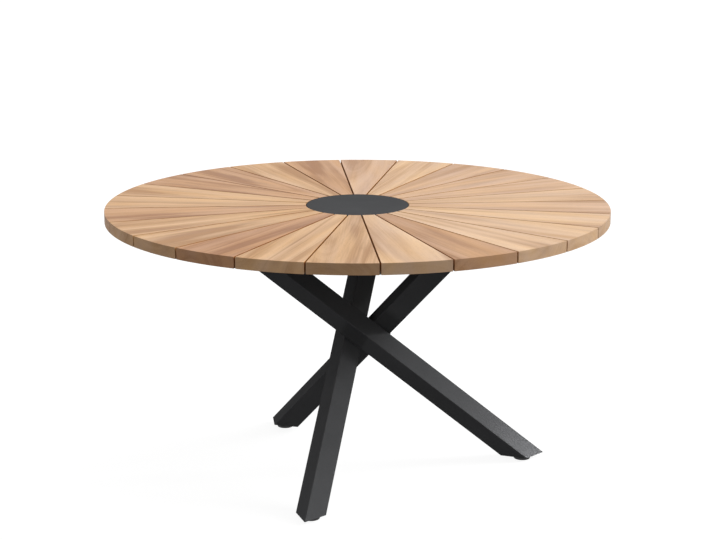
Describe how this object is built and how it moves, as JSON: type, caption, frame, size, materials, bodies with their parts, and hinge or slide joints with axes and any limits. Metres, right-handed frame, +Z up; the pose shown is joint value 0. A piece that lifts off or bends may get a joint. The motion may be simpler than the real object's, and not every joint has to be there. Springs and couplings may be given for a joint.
{
  "type": "round garden table",
  "caption": "Round outdoor dining table: radial teak slats about a dark metal disc, on square-tube legs that cross and lean on one another, with levelling feet.",
  "frame": {"origin": "on the floor, below the centre of the round top", "axes": "+Z up through the centre disc; the picture looks about along +Y, with +X to its right"},
  "size_m": [1.4, 1.4, 0.77],
  "materials": {
    "teak": "oiled, fine straight grain",
    "dark_coat": "fine matt powder coat, anthracite",
    "steel_hardware": "stainless, turned",
    "black_plastic": "moulded, matt"
  },
  "bodies": {
    "frame": {"slat_01": "teak", "slat_02": "teak", "slat_03": "teak", "slat_04": "teak", "slat_05": "teak", "slat_06": "teak", "slat_07": "teak", "slat_08": "teak", "slat_09": "teak", "slat_10": "teak", "slat_11": "teak", "slat_12": "teak", "slat_13": "teak", "slat_14": "teak", "slat_15": "teak", "slat_16": "teak", "slat_17": "teak", "slat_18": "teak", "slat_19": "teak", "slat_20": "teak", "slat_21": "teak", "slat_22": "teak", "slat_23": "teak", "slat_24": "teak", "centre_disc": "dark_coat", "hub_plate": "dark_coat", "crossing_welds": "dark_coat", "frame_arm_1": "dark_coat", "frame_arm_2": "dark_coat", "frame_arm_3": "dark_coat", "frame_arm_4": "dark_coat", "frame_arm_5": "dark_coat", "frame_arm_6": "dark_coat", "frame_bar_1": "dark_coat", "frame_bar_2": "dark_coat", "frame_bar_3": "dark_coat", "frame_bar_4": "dark_coat", "frame_bar_5": "dark_coat", "frame_bar_6": "dark_coat", "leg_tube_1": "dark_coat", "leg_tube_2": "dark_coat", "leg_tube_3": "dark_coat", "leg_end_1": "dark_coat", "leg_end_2": "dark_coat", "leg_end_3": "dark_coat", "leg_plate_1": "dark_coat", "leg_plate_2": "dark_coat", "leg_plate_3": "dark_coat", "disc_nut": "steel_hardware", "slat_screws": "steel_hardware", "leg_bolts": "steel_hardware", "weld_nuts": "steel_hardware", "arm_plugs": "black_plastic"},
    "foot_1": {"foot_pad_1": "black_plastic"},
    "foot_1_stud": {"foot_stud_1": "steel_hardware"},
    "foot_2": {"foot_pad_2": "black_plastic"},
    "foot_2_stud": {"foot_stud_2": "steel_hardware"},
    "foot_3": {"foot_pad_3": "black_plastic"},
    "foot_3_stud": {"foot_stud_3": "steel_hardware"}
  },
  "joints": [
    {"name": "foot_1_slide", "type": "slide", "parent": "frame", "child": "foot_1", "axis": [0, 0, -1], "range_m": [0, 0.012]},
    {"name": "foot_1_screw", "type": "hinge", "parent": "foot_1", "child": "foot_1_stud", "pos_m": [-0.12628, -0.40655, 0.02], "axis": [0, 0, -1], "range_deg": [0, 3460]},
    {"name": "foot_2_slide", "type": "slide", "parent": "frame", "child": "foot_2", "axis": [0, 0, -1], "range_m": [0, 0.012]},
    {"name": "foot_2_screw", "type": "hinge", "parent": "foot_2", "child": "foot_2_stud", "pos_m": [0.4813, 0.06145, 0.02], "axis": [0, 0, -1], "range_deg": [0, 3460]},
    {"name": "foot_3_slide", "type": "slide", "parent": "frame", "child": "foot_3", "axis": [0, 0, -1], "range_m": [0, 0.012]},
    {"name": "foot_3_screw", "type": "hinge", "parent": "foot_3", "child": "foot_3_stud", "pos_m": [-0.22072, 0.35226, 0.02], "axis": [0, 0, -1], "range_deg": [0, 3460]}
  ],
  "couplings": [
    {"joint": "foot_1_screw", "follows": "foot_1_slide", "rad_per_m": 5026.5},
    {"joint": "foot_2_screw", "follows": "foot_2_slide", "rad_per_m": 5026.5},
    {"joint": "foot_3_screw", "follows": "foot_3_slide", "rad_per_m": 5026.5}
  ]
}
